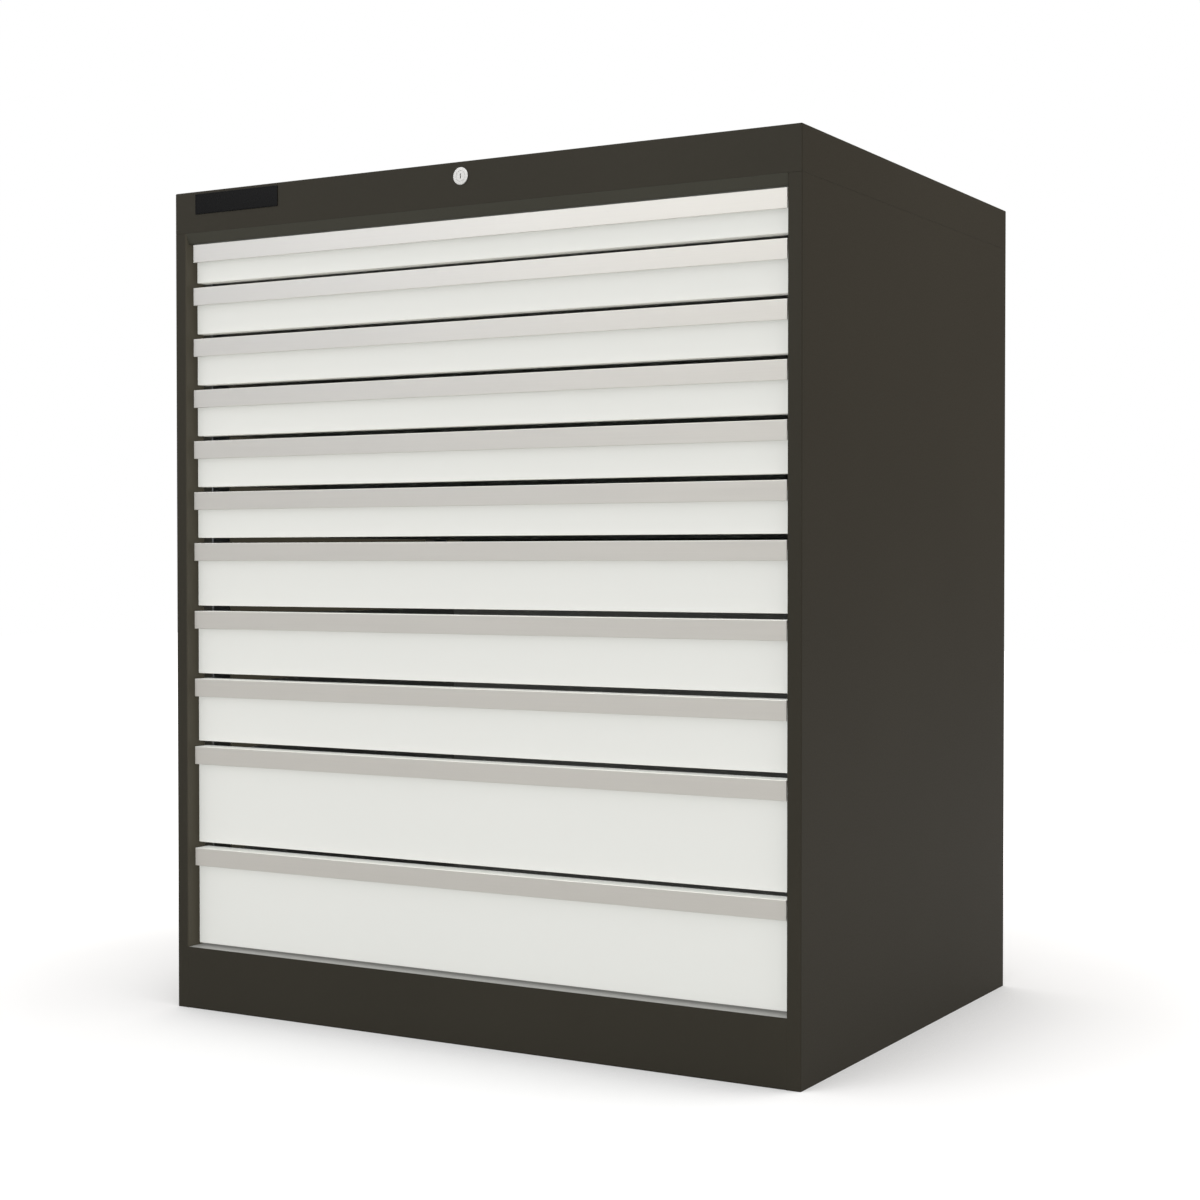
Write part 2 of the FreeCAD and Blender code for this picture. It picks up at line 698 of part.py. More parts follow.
def linkage_screws():
    # Screws that guide the crossbar and the lock bar, and the crank's pivot.
    front_grip = link_y - link_gap
    back_grip = link_y + link_sheet + link_gap
    screws = []
    for x in crossbar_screw_xs():
        screws.append(shoulder_screw(x, crossbar_z, header_back_y, 1, front_grip, back_grip, front_grip))
    for z in bar_screw_zs():
        screws.append(shoulder_screw(bar_screw_x, z, post_front_y, -1, back_grip, front_grip, back_grip))
    screws.append(shoulder_screw(crank_x, crank_z, header_back_y, 1, header_back_y,
                                 link_y, header_back_y))
    return screws


bottoms = []
level = opening_top
for drawer_height in drawer_heights:
    level -= drawer_height
    bottoms.append(level)

right_side = side_panel()
save("side_panel_right", right_side)
save("side_panel_left", mirrored(right_side))
save("back_panel", back_panel())
save("back_rivets", *back_rivets())
save("top_cap", top_cap())
save("base_pan", base_pan())
save("front_header", front_header())
save("upright_posts", *upright_posts())
save("cabinet_rails", *cabinet_rails(bottoms))
save("name_plate", name_plate())
save("lock_housing", *lock_housing())
save("lock_plug", lock_plug())
save("lock_crossbar", lock_crossbar())
save("lock_crank", lock_crank())
save("lock_bar", *lock_bar(bottoms))
save("linkage_screws", *linkage_screws())
for number, (bottom, height) in enumerate(zip(bottoms, drawer_heights), start=1):
    drawer = "drawer_%02d_" % number
    save(drawer + "tray", *drawer_tray(bottom, height))
    save(drawer + "front", *drawer_front(bottom, height))
    save(drawer + "handle", drawer_handle(bottom, height))
    save(drawer + "slides", *drawer_slides(bottom))
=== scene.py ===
import json
import math
import bmesh
import bpy
import numpy as np
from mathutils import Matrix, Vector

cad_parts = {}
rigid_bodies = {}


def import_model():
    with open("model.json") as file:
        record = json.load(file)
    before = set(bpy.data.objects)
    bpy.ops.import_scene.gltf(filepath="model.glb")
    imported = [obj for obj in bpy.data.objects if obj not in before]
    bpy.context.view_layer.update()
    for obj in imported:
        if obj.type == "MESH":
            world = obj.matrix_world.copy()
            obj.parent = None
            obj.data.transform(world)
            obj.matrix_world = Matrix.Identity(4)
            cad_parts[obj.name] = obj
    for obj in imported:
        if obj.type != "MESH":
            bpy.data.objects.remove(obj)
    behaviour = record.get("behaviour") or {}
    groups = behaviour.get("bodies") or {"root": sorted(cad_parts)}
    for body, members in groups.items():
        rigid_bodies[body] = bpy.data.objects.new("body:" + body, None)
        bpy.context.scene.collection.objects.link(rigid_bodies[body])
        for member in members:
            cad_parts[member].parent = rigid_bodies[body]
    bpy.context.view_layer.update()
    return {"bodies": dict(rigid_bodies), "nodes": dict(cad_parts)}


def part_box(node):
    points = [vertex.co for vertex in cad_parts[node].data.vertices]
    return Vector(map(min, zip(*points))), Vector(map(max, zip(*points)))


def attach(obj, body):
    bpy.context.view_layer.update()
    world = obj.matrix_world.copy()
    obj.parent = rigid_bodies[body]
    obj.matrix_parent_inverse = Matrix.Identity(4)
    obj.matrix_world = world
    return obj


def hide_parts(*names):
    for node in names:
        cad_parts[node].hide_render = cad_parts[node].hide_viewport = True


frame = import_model()

mm = 0.001
arcSteps = 5  # steps along a quarter turn of a bend
edgeSteps = 3  # steps along a quarter turn of a rounded end
tinyEdge = 0.1 * mm  # rounding of the edges that are hardly seen
samePlace = 1e-7
smoothUpTo = math.radians(40)


def boxOf(node):
    low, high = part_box(node)
    return np.array(low), np.array(high)


def paintColour(red, green, blue):  # sRGB values out of 255, as linear light
    shares = np.array([red, green, blue]) / 255
    linear = np.where(shares <= 0.04045, shares / 12.92, ((shares + 0.055) / 1.055) ** 2.4)
    return (*linear.tolist(), 1.0)


# Node groups for the effects that several finishes share

def newGroup(name, inputs, outputs):
    tree = bpy.data.node_groups.new(name, "ShaderNodeTree")
    for label, kind, value in inputs:
        socket = tree.interface.new_socket(name=label, in_out="INPUT", socket_type=kind)
        socket.default_value = value
    for label, kind in outputs:
        tree.interface.new_socket(name=label, in_out="OUTPUT", socket_type=kind)
    return tree, tree.nodes.new("NodeGroupInput"), tree.nodes.new("NodeGroupOutput")


def feed(tree, socket, value):
    if isinstance(value, bpy.types.NodeSocket):
        tree.links.new(value, socket)
    else:
        socket.default_value = value


def addNode(tree, kind, settings=None, **inputs):
    node = tree.nodes.new(kind)
    for name, value in (settings or {}).items():
        setattr(node, name, value)
    for name, value in inputs.items():
        feed(tree, node.inputs[name.replace("_", " ")], value)
    return node


def addMath(tree, operation, *values):
    node = tree.nodes.new("ShaderNodeMath")
    node.operation = operation
    for socket, value in zip(node.inputs, values):
        feed(tree, socket, value)
    return node.outputs[0]


def mixColours(tree, share, first, second):
    node = tree.nodes.new("ShaderNodeMix")
    node.data_type = "RGBA"
    for number, value in ((0, share), (6, first), (7, second)):  # 6 and 7 are its colour sockets
        feed(tree, node.inputs[number], value)
    return node.outputs[2]


textureOutputs = [("Colour", "NodeSocketColor"), ("Roughness", "NodeSocketFloat"),
                  ("Height", "NodeSocketFloat")]
noiseSpan = (0.3, 0.7)  # most of a noise texture lies in here
coatNoise = {"driftScale": 2.2, "driftDetail": 3.0, "peelDetail": 2.0, "grainScale": 1400.0,
             "grainDetail": 1.0, "grainTint": 0.6, "grainHeight": 0.25}
drawnNoise = {"stretch": (0.012, 1.0, 1.0), "lineDetail": 4.0, "driftScale": 6.0,
              "driftDetail": 2.0, "driftTint": 0.5}


def fitRange(tree, value, low, high):
    return addNode(tree, "ShaderNodeMapRange", Value=value, From_Min=noiseSpan[0],
                   From_Max=noiseSpan[1], To_Min=low, To_Max=high).outputs[0]


def addNoise(tree, place, scale, detail):
    node = addNode(tree, "ShaderNodeTexNoise", Vector=place, Scale=scale, Detail=detail)
    return node.outputs["Fac"]


def closeGroup(tree, given, made, tint, amount, shine, height):
    # The tone is scaled by 1 + amount*tint, and the roughness runs between its limits with the
    # shine noise.
    lift = addMath(tree, "MULTIPLY_ADD", tint, given.outputs[amount], 1.0)
    scaled = addNode(tree, "ShaderNodeVectorMath", {"operation": "SCALE"}, Scale=lift)
    tree.links.new(given.outputs["Tone"], scaled.inputs[0])
    rough = fitRange(tree, shine, given.outputs["Gloss Low"], given.outputs["Gloss High"])
    for label, value in (("Colour", scaled.outputs[0]), ("Roughness", rough), ("Height", height)):
        tree.links.new(value, made.inputs[label])
    return tree


def buildCoatGroup():  # baked powder coat: orange peel, fine grain and a slow drift of tone
    tree, given, made = newGroup(
        "coatTexture",
        [("Tone", "NodeSocketColor", (0.5, 0.5, 0.5, 1)), ("Drift", "NodeSocketFloat", 0.03),
         ("Peel Size", "NodeSocketFloat", 260.0), ("Gloss Low", "NodeSocketFloat", 0.4),
         ("Gloss High", "NodeSocketFloat", 0.5)],
        textureOutputs)
    place = addNode(tree, "ShaderNodeTexCoord").outputs["Object"]
    slow = addNoise(tree, place, coatNoise["driftScale"], coatNoise["driftDetail"])
    peel = addNoise(tree, place, given.outputs["Peel Size"], coatNoise["peelDetail"])
    grain = addNoise(tree, place, coatNoise["grainScale"], coatNoise["grainDetail"])
    speck = fitRange(tree, grain, -coatNoise["grainTint"], coatNoise["grainTint"])
    tint = addMath(tree, "ADD", fitRange(tree, slow, -1.0, 1.0), speck)
    height = addMath(tree, "MULTIPLY_ADD", grain, coatNoise["grainHeight"], peel)
    return closeGroup(tree, given, made, tint, "Drift", peel, height)


def buildDrawnGroup():  # metal drawn along X: fine lines, broken up along their length
    tree, given, made = newGroup(
        "drawnLines",
        [("Tone", "NodeSocketColor", (0.5, 0.5, 0.5, 1)), ("Contrast", "NodeSocketFloat", 0.05),
         ("Line Scale", "NodeSocketFloat", 900.0), ("Gloss Low", "NodeSocketFloat", 0.3),
         ("Gloss High", "NodeSocketFloat", 0.4)],
        textureOutputs)
    place = addNode(tree, "ShaderNodeTexCoord").outputs["Object"]
    drawn = addNode(tree, "ShaderNodeMapping", Vector=place, Scale=drawnNoise["stretch"])
    lines = addNoise(tree, drawn.outputs[0], given.outputs["Line Scale"], drawnNoise["lineDetail"])
    slow = addNoise(tree, place, drawnNoise["driftScale"], drawnNoise["driftDetail"])
    drift = fitRange(tree, slow, -drawnNoise["driftTint"], drawnNoise["driftTint"])
    tint = addMath(tree, "ADD", fitRange(tree, lines, -1.0, 1.0), drift)
    return closeGroup(tree, given, made, tint, "Contrast", lines, lines)


coatGroup = buildCoatGroup()
drawnGroup = buildDrawnGroup()


# Finishes

reliefDepth = 0.2 * mm
housingFinish = {"tone": paintColour(54, 51, 43), "drift": 0.05, "peel": 420.0,
                 "gloss": (0.48, 0.54), "shine": 0.12, "bump": 0.04}
headerLitFinish = {**housingFinish, "tone": paintColour(67, 66, 58)}  # painted light: the housing coat with a lighter tone, so the header reads lighter than the stiles
frontFinish = {"tone": paintColour(226, 224, 220), "drift": 0.006, "peel": 300.0,
               "gloss": (0.36, 0.42), "shine": 0.5, "bump": 0.04}
trayFinish = {"tone": paintColour(184, 184, 180), "drift": 0.012, "peel": 320.0,
              "gloss": (0.4, 0.46), "shine": 0.5, "bump": 0.05}
# painted shade: the tray paint made darker for the sill and cabinet floor, set against the even
# light of the sillFill lamp
sillShadedFinish = {**trayFinish, "tone": paintColour(146, 146, 143)}
plateFinish = {"tone": paintColour(9, 9, 10), "drift": 0.05, "peel": 120.0,
               "gloss": (0.24, 0.3), "shine": 0.12, "bump": 0.02}
handleFinish = {"tone": paintColour(218, 215, 208), "contrast": 0.012, "lines": 700.0,
                "gloss": (0.36, 0.42), "bump": 0.015, "metal": 0.83}
zincFinish = {"tone": paintColour(186, 189, 194), "contrast": 0.05, "lines": 420.0,
              "gloss": (0.3, 0.42), "bump": 0.04, "metal": 0.9}
rollerFinish = {"tone": paintColour(150, 151, 154), "contrast": 0.03, "lines": 900.0,
                "gloss": (0.22, 0.32), "bump": 0.02, "metal": 1.0}
lockFinish = {"tone": paintColour(192, 191, 189), "contrast": 0.02, "lines": 1200.0,
              "gloss": (0.22, 0.3), "bump": 0.02, "metal": 1.0}


def newMaterial(name):
    material = bpy.data.materials.new(name)
    material.use_nodes = True
    tree = material.node_tree
    return material, tree, tree.nodes["Principled BSDF"]


def placeGroup(tree, group, **inputs):
    node = tree.nodes.new("ShaderNodeGroup")
    node.node_tree = group
    for name, value in inputs.items():
        node.inputs[name.replace("_", " ")].default_value = value
    return node


def joinFinish(tree, shader, group, bump):
    relief = addNode(tree, "ShaderNodeBump", Height=group.outputs["Height"], Strength=bump,
                     Distance=reliefDepth)
    tree.links.new(group.outputs["Colour"], shader.inputs["Base Color"])
    tree.links.new(group.outputs["Roughness"], shader.inputs["Roughness"])
    tree.links.new(relief.outputs[0], shader.inputs["Normal"])


def coatMaterial(name, finish):
    material, tree, shader = newMaterial(name)
    group = placeGroup(tree, coatGroup, Tone=finish["tone"], Drift=finish["drift"],
                       Peel_Size=finish["peel"], Gloss_Low=finish["gloss"][0],
                       Gloss_High=finish["gloss"][1])
    joinFinish(tree, shader, group, finish["bump"])
    shader.inputs["Specular IOR Level"].default_value = finish["shine"]
    return material


def drawnMaterial(name, finish):
    material, tree, shader = newMaterial(name)
    group = placeGroup(tree, drawnGroup, Tone=finish["tone"], Contrast=finish["contrast"],
                       Line_Scale=finish["lines"], Gloss_Low=finish["gloss"][0],
                       Gloss_High=finish["gloss"][1])
    joinFinish(tree, shader, group, finish["bump"])
    shader.inputs["Metallic"].default_value = finish["metal"]
    return material


housingPaint = coatMaterial("housingPaint", housingFinish)
headerPaint = coatMaterial("headerPaint", headerLitFinish)
frontPaint = coatMaterial("frontPaint", frontFinish)
trayPaint = coatMaterial("trayPaint", trayFinish)
sillPaint = coatMaterial("sillPaint", sillShadedFinish)
plateBlack = coatMaterial("plateBlack", plateFinish)
handleAluminium = drawnMaterial("handleAluminium", handleFinish)
zincSteel = drawnMaterial("zincSteel", zincFinish)
rollerSteel = drawnMaterial("rollerSteel", rollerFinish)
lockChrome = drawnMaterial("lockChrome", lockFinish)
print("finishes ready")


# Surfaces

def roundedOutline(corners, radii):
    # Each corner of a closed line gives way to an arc: its centre lies one radius off the line,
    # and the angle runs from the end of one edge to the start of the next.
    corners = np.asarray(corners, float)
    radii = np.asarray(radii, float)[:, None]
    before = corners - np.roll(corners, 1, 0)
    after = np.roll(corners, -1, 0) - corners
    before /= np.linalg.norm(before, axis=1, keepdims=True)
    after /= np.linalg.norm(after, axis=1, keepdims=True)
    cross = before[:, 0] * after[:, 1] - before[:, 1] * after[:, 0]
    turn = np.arctan2(cross, (before * after).sum(1))[:, None]
    start = corners - before * radii * np.tan(np.abs(turn) / 2)
    inward = np.stack([-before[:, 1], before[:, 0]], 1) * np.sign(turn)
    centre = start + inward * radii
    first = np.arctan2(*(start - centre).T[::-1])[:, None]
    angle = first + turn * np.linspace(0, 1, arcSteps + 1)
    arcs = centre[:, None] + radii[:, None] * np.stack([np.cos(angle), np.sin(angle)], 2)
    line = np.where(radii[:, None] > 0, arcs, corners[:, None]).reshape(-1, 2)
    apart = np.linalg.norm(line - np.roll(line, 1, 0), axis=1) > samePlace
    return line[apart]


def sheetOutline(corners, wall, bend, edge):
    # A bent sheet seen end on: the line of corners, and the same line moved to its left by the
    # wall, each corner along its mitre. Bends and cut edges are rounded.
    line = np.asarray(corners, float)
    runs = np.diff(line, axis=0)
    runs /= np.linalg.norm(runs, axis=1, keepdims=True)
    lefts = np.stack([-runs[:, 1], runs[:, 0]], 1)
    mitres = lefts[:-1] + lefts[1:]
    mitres *= wall / (1 + (lefts[:-1] * lefts[1:]).sum(1, keepdims=True))
    moved = line + np.concatenate([lefts[:1] * wall, mitres, lefts[-1:] * wall])
    left = (runs[:-1, 0] * runs[1:, 1] - runs[:-1, 1] * runs[1:, 0]) > 0
    near = np.concatenate([[edge], np.where(left, bend + wall, bend), [edge]])
    far = np.concatenate([[edge], np.where(left, bend, bend + wall), [edge]])
    return roundedOutline(np.concatenate([line, moved[::-1]]), np.concatenate([near, far[::-1]]))


def carried(outline, axis, start, end, edge):
    # A section carried straight along an axis, drawn in at both ends by a quarter round:
    # inset edge*(1 - sin a) at a distance edge*(1 - cos a) from the end.
    step = np.roll(outline, -1, 0) - np.roll(outline, 1, 0)
    step /= np.linalg.norm(step, axis=1, keepdims=True)
    following = np.roll(outline, -1, 0)
    area = (outline[:, 0] * following[:, 1] - following[:, 0] * outline[:, 1]).sum()
    inward = np.stack([-step[:, 1], step[:, 0]], 1) * np.sign(area)
    angle = np.linspace(0, math.pi / 2, edgeSteps + 1)
    inset = edge * (1 - np.sin(angle))
    along = edge * (1 - np.cos(angle))
    inset = np.concatenate([inset, inset[::-1]])
    along = np.concatenate([start + along, end - along[::-1]])
    rings = np.empty((len(along), len(outline), 3))
    others = [n for n in range(3) if n != axis]
    rings[:, :, others] = outline + inward * inset[:, None, None]
    rings[:, :, axis] = along[:, None]
    return rings


def pan(low, high, openAxis, openWay, wall, bend, edge):
    # A folded pan: rings of a rounded rectangle, each drawn in by an inset at a depth below the
    # closed face. Insets and depths follow the outer bend, the wall, the rim and the inner bend.
    quarter = np.linspace(0, math.pi / 2, arcSteps + 1)
    outer = bend + wall
    depth = high[openAxis] - low[openAxis]
    rim = min(edge, wall / 2)
    insets = [outer * (1 - np.sin(quarter)), rim * (1 - np.cos(quarter)),
              wall - rim * (1 - np.sin(quarter)), wall + bend * (1 - np.cos(quarter))]
    depths = [outer * (1 - np.cos(quarter)), depth - rim * (1 - np.sin(quarter)),
              depth - rim * (1 - np.cos(quarter)), wall + bend * (1 - np.sin(quarter))]
    inset = np.concatenate(insets)[:, None]
    drop = np.concatenate(depths)
    others = [n for n in range(3) if n != openAxis]
    half = (high - low)[others] / 2
    middle = (high + low)[others] / 2
    radius = np.maximum(outer - inset, 0)
    turns = ((np.arange(4) * math.pi / 2)[:, None] + quarter).ravel()
    signs = np.repeat([[1, 1], [-1, 1], [-1, -1], [1, -1]], arcSteps + 1, 0)
    rings = np.empty((len(drop), turns.size, 3))
    for n, (axis, wave) in enumerate(zip(others, (np.cos, np.sin))):
        reach = half[n] - inset - radius
        rings[:, :, axis] = middle[n] + signs[:, n] * reach + radius * wave(turns)
    closed = low[openAxis] if openWay > 0 else high[openAxis]
    rings[:, :, openAxis] = (closed + openWay * drop)[:, None]
    return rings


def turned(profile, axis, centre, steps):
    # A profile of (radius, distance along the axis), each point carried round the axis on a circle
    # about the centre: first = radius*cos a, second = radius*sin a.
    profile = np.asarray(profile, float)
    angle = np.arange(steps) * 2 * math.pi / steps
    first, second = [n for n in range(3) if n != axis]
    rings = np.empty((len(profile), steps, 3))
    rings[:, :, first] = centre[0] + profile[:, :1] * np.cos(angle)
    rings[:, :, second] = centre[1] + profile[:, :1] * np.sin(angle)
    rings[:, :, axis] = profile[:, 1:]
    return rings


def block(low, high, edge):
    # A plain bar with all its edges rounded.
    corners = [(low[1], low[2]), (high[1], low[2]), (high[1], high[2]), (low[1], high[2])]
    return carried(roundedOutline(corners, [edge] * 4), 0, low[0], high[0], edge)


def makePiece(name, shells, material, body, slot, *nodes):
    # Each shell is a stack of rings, joined ring to ring and closed at both ends.
    vertices, faces, offset = [], [], 0
    for rings in shells:
        rows, columns = rings.shape[:2]
        index = np.arange(rows * columns).reshape(rows, columns) + offset
        beside = np.roll(index, -1, 1)
        sides = np.stack([index[:-1], beside[:-1], beside[1:], index[1:]], 2)
        faces += sides.reshape(-1, 4).tolist()
        if not np.allclose(rings[0], rings[-1]):  # one that comes back to its start has no caps
            faces += [index[0][::-1].tolist(), index[-1].tolist()]
        vertices.append(rings.reshape(-1, 3))
        offset += rows * columns
    mesh = bpy.data.meshes.new(name)
    mesh.from_pydata(np.concatenate(vertices).tolist(), [], faces)
    work = bmesh.new()
    work.from_mesh(mesh)
    bmesh.ops.remove_doubles(work, verts=work.verts, dist=samePlace)
    bmesh.ops.recalc_face_normals(work, faces=work.faces)
    work.to_mesh(mesh)
    work.free()
    mesh.polygons.foreach_set("use_smooth", np.ones(len(mesh.polygons), bool))
    mesh.set_sharp_from_angle(angle=smoothUpTo)
    mesh.materials.append(material)
    piece = bpy.data.objects.new(name, mesh)
    bpy.context.scene.collection.objects.link(piece)
    weighted = piece.modifiers.new("weightedNormals", "WEIGHTED_NORMAL")
    weighted.keep_sharp = True
    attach(piece, body)
    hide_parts(*nodes)


# Housing

housingSheet = {"wall": 1.5 * mm, "bend": 0.5 * mm, "edge": 0.45 * mm, "stileReturn": 38 * mm,
                "footFlange": 28.5 * mm, "rearFlange": 20 * mm, "postGap": 58 * mm,
                "footGap": 40.2 * mm}
sillFold = {"rest": 38.2 * mm, "foot": 40 * mm, "edge": 0.3 * mm}
weldSeam = {"sink": 0.02 * mm, "depth": 0.6 * mm, "width": 2 * mm, "edge": 0.05 * mm}
headerFold = {"lean": 6 * mm, "drop": 2.8 * mm}
capLow, capHigh = boxOf("top_cap")
sideLow, sideHigh = boxOf("side_panel_right")
headerLow, headerHigh = boxOf("front_header")
baseLow, baseHigh = boxOf("base_pan")
frontY, backY = sideLow[1], sideHigh[1]
openingX = headerHigh[0]
wall = housingSheet["wall"]


def buildSidePanel(side, name, node):
    low, high = boxOf(node)
    inner, outer = side * openingX, high[0] if side > 0 else low[0]
    corners = [(inner, frontY + housingSheet["stileReturn"]), (inner, frontY), (outer, frontY),
               (outer, backY), (outer - side * housingSheet["rearFlange"], backY)]
    outline = sheetOutline(corners[::side], wall, housingSheet["bend"], housingSheet["edge"])
    panel = carried(outline, 2, low[2], high[2], housingSheet["edge"])
    inside = outer - side * wall
    flange = inside - side * housingSheet["footFlange"]
    first, last = min(inside, flange), max(inside, flange)
    rear = backY - 2 * wall
    foot = block((first, frontY + housingSheet["footGap"], low[2]), (last, rear, low[2] + wall),
                 housingSheet["edge"])
    top = block((first, frontY + housingSheet["postGap"], high[2] - wall), (last, rear, high[2]),
                housingSheet["edge"])
    makePiece(name, [panel, foot, top], housingPaint, "housing", "housing_paint", node)


buildSidePanel(1, "sidePanelRight", "side_panel_right")
buildSidePanel(-1, "sidePanelLeft", "side_panel_left")

capShell = pan(capLow, capHigh, 2, -1, wall, housingSheet["bend"], housingSheet["edge"])
makePiece("topCap", [capShell], housingPaint, "housing", "housing_paint", "top_cap")

plinthCorners = [(frontY, baseHigh[2]), (frontY, baseLow[2]),
                 (frontY + sillFold["foot"], baseLow[2])]
plinthOutline = sheetOutline(plinthCorners, wall, housingSheet["bend"], sillFold["edge"])
plinth = carried(plinthOutline, 0, -openingX, openingX, tinyEdge)
seamFront, seamBack = frontY + weldSeam["sink"], frontY + weldSeam["depth"]
seams = [block((x, seamFront, baseLow[2]), (x + weldSeam["width"], seamBack, baseHigh[2]),
               weldSeam["edge"])  # the welds to the stiles, ground flush
         for x in (-openingX - weldSeam["width"], openingX)]
makePiece("basePan", [plinth] + seams, housingPaint, "housing", "housing_paint", "base_pan")
sill = block((-openingX, frontY + wall, baseHigh[2] - wall),
             (openingX, frontY + sillFold["rest"], baseHigh[2]), tinyEdge)
cabinetFloor = block((baseLow[0], frontY + sillFold["rest"], baseHigh[2] - wall),
                     (baseHigh[0], baseHigh[1], baseHigh[2]), tinyEdge)
# The sill and cabinet floor take the tray paint with painted shade: a darker tone.
makePiece("sillAndFloor", [sill, cabinetFloor], sillPaint, "housing", "tray_paint", "base_pan")

headerFoot, leanY = headerLow[2] - headerFold["drop"], frontY + headerFold["lean"]
headerCorners = [(frontY, sideHigh[2]), (leanY, headerFoot), (headerHigh[1], headerFoot),
                 (headerHigh[1], headerHigh[2])]
headerOutline = sheetOutline(headerCorners, wall, housingSheet["bend"], housingSheet["edge"])
nearFront = headerOutline[:, 0] < leanY  # the leaning sheet's square end stays under the cap
headerOutline[nearFront, 1] = np.minimum(headerOutline[nearFront, 1], sideHigh[2])
header = carried(headerOutline, 0, -openingX, openingX, tinyEdge)
# The header's paint carries painted light: the housing coat made lighter.
makePiece("frontHeader", [header], headerPaint, "housing", "housing_paint", "front_header")
print("housing built")


# Drawers

frontSheet = {"wall": 1.2 * mm, "bend": 0.1 * mm, "edge": 0.3 * mm, "behindHandle": 2.5 * mm}
handleRail = {"wall": 1.6 * mm, "topWall": 2 * mm, "hookDrop": 12 * mm, "hookWall": 2 * mm,
              "topEdge": 0.7 * mm, "footEdge": 0.6 * mm, "smallEdge": 0.4 * mm, "fillet": 1 * mm,
              "end": 0.3 * mm, "shift": 1.2 * mm}


def handleOutline(low, high):
    # The face in front, the top wall, and the hook that holds the front's upper edge.
    face, rear, foot, top = low[1], high[1], low[2], high[2]
    hookBack = rear - frontSheet["wall"]
    hookFront = hookBack - handleRail["hookWall"]
    under = top - handleRail["topWall"]
    faceBack = face + handleRail["wall"]
    hookFoot = top - handleRail["hookDrop"]
    corners = [(face, foot), (faceBack, foot), (faceBack, under), (hookFront, under),
               (hookFront, hookFoot), (hookBack, hookFoot), (hookBack, under), (rear, under),
               (rear, top), (face, top)]
    bottom, small, fillet = (handleRail[part] for part in ("footEdge", "smallEdge", "fillet"))
    return roundedOutline(corners, [bottom, bottom, fillet, fillet, small, small, 0, small, small,
                                    handleRail["topEdge"]])


def buildDrawer(number):
    drawer = "drawer_%02d" % number
    handleLow, handleHigh = boxOf(drawer + "_handle")
    start, end = handleLow[0] + handleRail["shift"], handleHigh[0] + handleRail["shift"]
    rail = carried(handleOutline(handleLow, handleHigh), 0, start, end, handleRail["end"])
    makePiece("handleRail_%02d" % number, [rail], handleAluminium, drawer, "handle_aluminium",
              drawer + "_handle")
    low, high = boxOf(drawer + "_front")
    shelf = handleLow[2] + frontSheet["behindHandle"]
    sheet = frontSheet["wall"]
    face = pan(low, np.array([high[0], high[1], shelf]), 1, 1, sheet, frontSheet["bend"],
               frontSheet["edge"])
    strip = block((low[0] + sheet, high[1] - sheet, shelf), (high[0] - sheet, high[1], high[2]),
                  tinyEdge)
    makePiece("drawerFront_%02d" % number, [face, strip], frontPaint, drawer, "front_paint",
              drawer + "_front")


traySheet = {"wall": 1.2 * mm, "bend": 0.8 * mm, "rim": 0.5 * mm}
railSheet = {"wall": 1.5 * mm, "bend": 0.5 * mm, "edge": 0.35 * mm, "stop": 3 * mm,
             "drawerDepth": 14 * mm, "cabinetDepth": 15 * mm}
catchBlock = {"front": 10 * mm, "depth": 5.5 * mm, "lift": 38 * mm, "height": 6 * mm,
              "edge": 0.5 * mm}
slidePlate = {"inner": 467 * mm, "outer": 469 * mm, "corner": 6.5 * mm, "edge": 0.3 * mm,
              "nose": 13 * mm}
roller = {"radius": 13.2 * mm, "bevel": 0.8 * mm, "bore": 4.05 * mm, "dish": 0.6 * mm,
          "dishAt": 8.5 * mm, "innerWidth": 10 * mm, "outerWidth": 11 * mm,
          "stopDistance": 16.7 * mm, "count": 3, "steps": 24}
axle = {"journal": 4 * mm, "collar": 6 * mm, "shoulder": 0.6 * mm, "play": 0.2 * mm,
        "head": 1 * mm, "rim": 0.4 * mm}
railsLow, railsHigh = boxOf("cabinet_rails")
drawerNumbers = [int(name[-2:]) for name in frame["bodies"] if name.startswith("drawer_")]


def channel(openX, webX, low, high, near, far):
    # A folded channel along Y, open towards openX, with a turned-in stop at each end.
    corners = [(openX, low), (webX, low), (webX, high), (openX, high)]
    if webX < openX:
        corners = corners[::-1]
    outline = sheetOutline(corners, railSheet["wall"], railSheet["bend"], railSheet["edge"])
    inset = railSheet["wall"] / 2
    left, right = sorted((openX, webX - math.copysign(inset, webX - openX)))
    stops = [block((left, y, low + inset), (right, y + railSheet["stop"], high - inset),
                   railSheet["edge"]) for y in (near, far - railSheet["stop"])]
    return [carried(outline, 1, near, far, railSheet["edge"])] + stops


def buildTray(number):
    drawer = "drawer_%02d" % number
    low, high = boxOf(drawer + "_tray")
    slideLow, slideHigh = boxOf(drawer + "_slides")
    side = -low[0] - railSheet["drawerDepth"]
    panLow, panHigh = np.array([-side, low[1], low[2]]), np.array([side, high[1], high[2]])
    shells = [pan(panLow, panHigh, 2, 1, traySheet["wall"], traySheet["bend"], traySheet["rim"])]
    for way in (1, -1):
        shells += channel(-way * low[0], way * side, slideLow[2], slideHigh[2],
                          low[1] + traySheet["wall"], high[1])
    y, z = low[1] + catchBlock["front"], slideLow[2] + catchBlock["lift"]
    shells.append(block((side, y, z), (high[0], y + catchBlock["depth"], z + catchBlock["height"]),
                        catchBlock["edge"]))
    makePiece("drawerTray_%02d" % number, shells, trayPaint, drawer, "tray_paint",
              drawer + "_tray")


def rollerShell(x, y, z, width, way):
    # A wheel with bevelled rims, its faces dished in round the bore.
    radius, bevel, bore, dish, dishAt = (
        roller[part] for part in ("radius", "bevel", "bore", "dish", "dishAt"))
    half = [(bore, dish), (dishAt, dish), (dishAt + dish, 0), (radius - bevel, 0), (radius, bevel)]
    profile = [(r, x + way * along) for r, along in half]
    profile += [(r, x + way * (width - along)) for r, along in half[::-1]] + [profile[0]]
    return turned(profile, 0, (y, z), roller["steps"])


